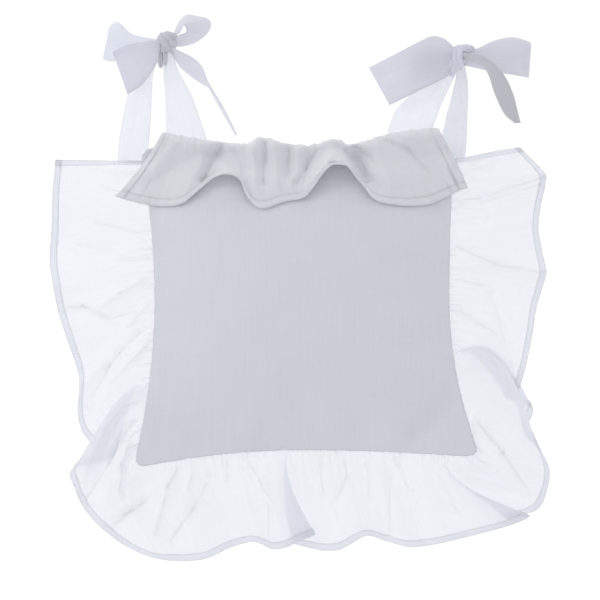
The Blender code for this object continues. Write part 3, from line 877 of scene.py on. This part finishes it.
def tie_strip(name, node, body, edges, columns, flat, crush, seed, knot, held,
              finish):
    """A strip of tie cloth between two smooth edges that start at the knot.

    Edges are in tie widths from the knot. crush is how high its wrinkles stand, in metres."""
    rails = [[Vector(point) for point in edge] for edge in edges]
    origin = Vector((knot.x, knot.y, 0))
    wide, length = flat
    bm = bmesh.new()
    bmesh.ops.create_grid(bm, x_segments=columns, y_segments=TIE_ROWS, size=1.0)
    across = bm.verts.layers.float.new("across")
    down = bm.verts.layers.float.new("down")
    for vert in bm.verts:
        s = (vert.co.x + 1) / 2
        t = (vert.co.y + 1) / 2
        low, high = curve(rails[0], s), curve(rails[1], s)
        place = origin + low.lerp(high, t) * TIE_WIDTH
        grip = exp(-s / 0.35) + exp(-(1 - s) / 0.25) * 0.3 + 0.35
        lines = drift(seed, t * 7.0, s * 1.6) * 0.7 + drift(seed + 0.3, t * 3.0, s * 2.6)
        place.z += crush * grip * lines
        place.z -= TIE_EDGE_ROLL * exp(-min(t, 1 - t) * wide / TIE_EDGE_ROLL)
        place.z = max(place.z, TABLE_CLEARANCE)
        vert.co = place
        vert[across], vert[down] = t * wide, s * length
    weave = bm.loops.layers.uv.new("cloth")
    for face in bm.faces:
        for loop in face.loops:
            loop[weave].uv = (loop.vert[across], loop.vert[down])
    sewn_in = held == "hung"
    piece = add_piece(name, bm, None if sewn_in else body, finish)
    give_thickness(piece, TIE_THICKNESS)
    if sewn_in:
        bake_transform(piece)
    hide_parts(node)


def out_and_back(edge, top, bottom, narrowing=0.97):
    """A loop's edge: out along the top layer, round its end and back underneath."""
    out = [(x, y, top) for x, y in edge[:-1]]
    end = [(*edge[-1], (top + bottom) / 2)]
    back = [(x * 0.97, y * narrowing, bottom) for x, y in reversed(edge[:-1])]
    return [*out, *end, *back]


def knot_piece(name, node, body, knot, lumps, seed, finish):
    """The knot: a strip pulled tight round the others, so it is small, round and ruched.

    Each lump is its place from the knot and its half size in tie widths, the lean of its
    pleats and how many there are."""
    bm = bmesh.new()
    for number, (place, size, lean, pleats) in enumerate(lumps):
        lump = bmesh.ops.create_uvsphere(bm, u_segments=64, v_segments=40, radius=1.0)["verts"]
        for vert in lump:
            x, y, z = vert.co
            line = x * cos(lean) + y * sin(lean)
            cross = -x * sin(lean) + y * cos(lean)
            wander = 0.9 * drift(seed + number, cross * 1.6, line)
            ridge = (1 - abs(sin(line * pleats + wander))) ** 1.4 * (1 - 0.5 * cross * cross)
            swell = 1.0 - 0.20 * ridge + 0.06 * drift(seed + number + 5, x * 2.5, y * 2.5)
            shape = Vector((abs(x) ** 0.8 * (1 if x > 0 else -1) * size[0],
                            abs(y) ** 0.8 * (1 if y > 0 else -1) * size[1], z * size[2]))
            vert.co = knot + (Vector(place) + shape * swell) * TIE_WIDTH
            vert.co.z = max(vert.co.z, TABLE_CLEARANCE)
    weave = bm.loops.layers.uv.new("cloth")
    for face in bm.faces:
        for loop in face.loops:
            loop[weave].uv = (loop.vert.co.x, loop.vert.co.y)
    piece = add_piece(name, bm, body, finish)
    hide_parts(node)



# ---- Left bow -------------------------------------------------------------------------------
# Tied at the top left corner. Its front tail lies over a loop on the left, a short loop stands
# on edge on the right, and the long tail hangs down beside the straps, twisted on edge.

left_knot = Vector((-BODY_WIDTH / 2 + 0.0064, BODY_LENGTH / 2 + 0.065, KNOT_HEIGHT * TIE_WIDTH))

tie_strip("left_strap_outer", "left_outer_strap", "left_bow", [
    [(-0.14, -0.18, 0.10), (-0.40, -0.46, 0.08), (-0.72, -0.84, 0.07), (-0.93, -1.24, 0.08),
     (-1.05, -1.80, 0.22), (-1.12, -2.35, 0.60), (-1.14, -2.90, 0.93)],
    [(-0.06, -0.26, 0.12), (-0.20, -0.44, 0.14), (-0.31, -0.72, 0.15), (-0.34, -1.20, 0.14),
     (-0.36, -1.76, 0.26), (-0.39, -2.35, 0.66), (-0.44, -2.92, 0.93)]],
          56, (0.019, 0.075), 0.0006, 31, left_knot, "hung",
          strap_cotton)
tie_strip("left_strap_inner", "left_inner_strap", "left_bow", [
    [(-0.06, -0.12, 0.12), (-0.06, -0.70, 0.12), (-0.02, -1.30, 0.09), (0.00, -2.10, 0.30),
     (0.00, -2.46, 0.74), (0.00, -2.76, 0.98)],
    [(0.13, -0.08, 0.10), (0.29, -0.62, 0.14), (0.62, -1.25, 0.09), (0.92, -2.10, 0.30),
     (1.02, -2.46, 0.74), (1.06, -2.76, 0.98)]], 40, (0.024, 0.068), 0.0006, 32, left_knot, "hung",
          strap_cotton)
tie_strip("left_loop_back", "left_bow_back_loop", "left_bow", [
    out_and_back([(-0.16, 0.10), (-0.55, 0.16), (-0.87, 0.26), (-1.17, 0.53), (-1.38, 0.40)],
                 0.28, 0.08),
    out_and_back([(-0.16, -0.10), (-0.60, -0.16), (-0.95, -0.26), (-1.30, -0.43),
                  (-1.53, -0.36)], 0.30, 0.08)],
          60, (0.018, 0.070), 0.0005, 33, left_knot, "folded",
          strap_cotton)
tie_strip("left_tail_front", "left_bow_front_tail", "left_bow", [
    [(-0.14, 0.10, 0.42), (-0.50, 0.03, 0.50), (-0.85, -0.03, 0.50), (-1.28, -0.20, 0.42)],
    [(-0.14, -0.18, 0.40), (-0.30, -0.62, 0.44), (-0.58, -1.00, 0.36), (-0.93, -1.22, 0.26)]],
          40, (0.024, 0.034), 0.0009, 34, left_knot, "laid",
          bow_painted_shade_cotton)
tie_strip("left_loop_short", "left_bow_right_loop", "left_bow", [
    [(0.14, 0.14, 0.10), (0.30, 0.52, 0.08), (0.50, 0.71, 0.07), (0.74, 0.68, 0.07),
     (1.00, 0.62, 0.07), (1.09, 0.46, 0.08), (0.98, 0.24, 0.10), (0.72, 0.04, 0.12),
     (0.40, -0.06, 0.14), (0.16, -0.04, 0.16)],
    [(0.14, 0.12, 0.36), (0.32, 0.24, 0.48), (0.40, 0.36, 0.56), (0.43, 0.43, 0.60),
     (0.46, 0.41, 0.60), (0.49, 0.35, 0.58), (0.50, 0.28, 0.54), (0.44, 0.24, 0.48),
     (0.34, 0.21, 0.42), (0.16, 0.10, 0.36)]],
          64, (0.016, 0.056), 0.0004, 35, left_knot, "folded",
          bow_painted_shade_cotton)
tie_strip("left_tail_long", "left_bow_hanging_tail", "left_tail", [
    [(0.12, -0.08, 0.42), (0.36, -0.20, 0.62), (0.65, -0.36, 0.78), (0.88, -0.58, 0.86),
     (1.02, -0.92, 0.88), (1.18, -1.20, 0.86), (1.40, -1.56, 0.76), (1.73, -2.20, 0.50)],
    [(0.12, -0.20, 0.16), (0.34, -0.56, 0.10), (0.62, -0.80, 0.07), (0.86, -0.96, 0.06),
     (1.04, -1.08, 0.06), (1.17, -1.32, 0.06), (1.36, -1.66, 0.06), (1.68, -2.22, 0.06)]],
          72, (0.022, 0.068), 0.0004, 36, left_knot, "laid",
          bow_painted_shade_cotton)
knot_piece("left_knot_wrap", "left_knot", "left_bow", left_knot, [
    ((0.02, 0.03, 0.0), (0.25, 0.27, 0.24), 0.9, 5.0),
    ((0.06, 0.16, 0.03), (0.22, 0.12, 0.18), 1.3, 4.0),
    ((-0.13, -0.36, -0.06), (0.07, 0.24, 0.13), 0.1, 3.0),
    ((-0.01, -0.34, -0.04), (0.06, 0.20, 0.13), -0.1, 3.0)], 37, left_knot_painted_shade_cotton)

# ---- Right bow ------------------------------------------------------------------------------
# Tied at the top right corner. A wide tail lies over the hidden loop on the left, a broad flat
# loop points right, and the second tail twists down and to the right.

right_knot = Vector((BODY_WIDTH / 2 + 0.0065, BODY_LENGTH / 2 + 0.0554, KNOT_HEIGHT * TIE_WIDTH))

tie_strip("right_strap_inner", "right_inner_strap", "right_bow", [
    [(-0.16, -0.18, 0.10), (-0.70, -0.50, 0.09), (-1.10, -0.81, 0.08), (-1.45, -1.15, 0.08),
     (-1.64, -1.52, 0.20), (-1.73, -1.85, 0.50), (-1.78, -2.34, 0.98)],
    [(-0.02, -0.26, 0.12), (-0.10, -0.44, 0.14), (-0.25, -0.75, 0.14), (-0.39, -1.06, 0.12),
     (-0.56, -1.50, 0.26), (-0.66, -1.78, 0.55), (-0.78, -2.34, 0.98)]],
          56, (0.026, 0.062), 0.0006, 41, right_knot, "hung",
          strap_cotton)
tie_strip("right_strap_outer", "right_outer_strap", "right_bow", [
    [(-0.02, -0.12, 0.12), (-0.07, -0.50, 0.12), (-0.15, -0.85, 0.10), (-0.27, -1.30, 0.12),
     (-0.38, -1.75, 0.40), (-0.44, -2.10, 0.80), (-0.46, -2.50, 0.92)],
    [(0.14, -0.06, 0.10), (0.22, -0.50, 0.14), (0.24, -0.90, 0.12), (0.22, -1.30, 0.12),
     (0.20, -1.75, 0.38), (0.17, -2.10, 0.80), (0.12, -2.50, 0.92)]],
          56, (0.0150, 0.062), 0.0006, 42, right_knot, "hung",
          doubled_painted_shade_cotton)
tie_strip("right_loop_back", "right_bow_back_loop", "right_bow", [
    out_and_back([(-0.16, 0.14), (-0.50, 0.28), (-0.80, 0.32), (-1.15, 0.16)], 0.28, 0.08),
    out_and_back([(-0.16, -0.14), (-0.50, -0.32), (-0.80, -0.44), (-1.15, -0.60)], 0.28, 0.08)],
          48, (0.022, 0.052), 0.0004, 43, right_knot, "folded",
          bow_painted_shade_cotton)
tie_strip("right_tail_front", "right_bow_front_tail", "right_bow", [
    [(-0.10, 0.26, 0.42), (-0.36, 0.48, 0.50), (-0.66, 0.53, 0.52), (-1.05, 0.36, 0.50),
     (-1.45, 0.15, 0.48), (-1.82, -0.04, 0.44), (-2.17, -0.22, 0.38)],
    [(-0.10, -0.26, 0.40), (-0.30, -0.44, 0.44), (-0.56, -0.58, 0.46), (-0.82, -0.70, 0.46),
     (-1.10, -0.84, 0.44), (-1.38, -0.98, 0.40), (-1.67, -1.12, 0.36)]],
          60, (0.026, 0.060), 0.0009, 44, right_knot, "laid",
          bow_painted_shade_cotton)
tie_strip("right_loop_broad", "right_bow_right_loop", "right_bow", [
    out_and_back([(0.14, 0.16), (0.48, 0.26), (0.84, 0.43), (1.27, 0.52), (1.60, 0.45),
                  (1.76, 0.36)], 0.34, 0.08, 0.55),
    out_and_back([(0.14, -0.16), (0.50, -0.24), (0.90, -0.33), (1.27, -0.38), (1.55, -0.43),
                  (1.70, -0.44)], 0.36, 0.08, 0.50)],
          64, (0.020, 0.080), 0.0007, 45, right_knot, "folded",
          bow_painted_shade_cotton)
tie_strip("right_tail_long", "right_bow_hanging_tail", "right_tail", [
    [(0.10, -0.02, 0.40), (0.38, -0.08, 0.62), (0.58, -0.20, 0.72), (0.72, -0.44, 0.76),
     (0.86, -0.86, 0.66), (1.10, -1.34, 0.50), (1.36, -1.56, 0.40)],
    [(0.12, 0.12, 0.56), (0.44, 0.10, 0.74), (0.80, -0.10, 0.80), (1.10, -0.44, 0.74),
     (1.30, -0.84, 0.60), (1.40, -1.18, 0.44), (1.50, -1.55, 0.30)]],
          60, (0.0145, 0.050), 0.0007, 46, right_knot, "laid",
          shaded_cotton)
knot_piece("right_knot_wrap", "right_knot", "right_bow", right_knot, [
    ((-0.02, 0.02, 0.0), (0.22, 0.30, 0.24), 0.2, 5.0),
    ((0.14, 0.24, 0.02), (0.26, 0.12, 0.16), 0.9, 6.0),
    ((-0.16, -0.18, 0.02), (0.14, 0.26, 0.20), -0.3, 3.5),
    ((-0.22, 0.06, 0.00), (0.10, 0.16, 0.17), 0.5, 3.0)], 47, right_knot_painted_shade_cotton)
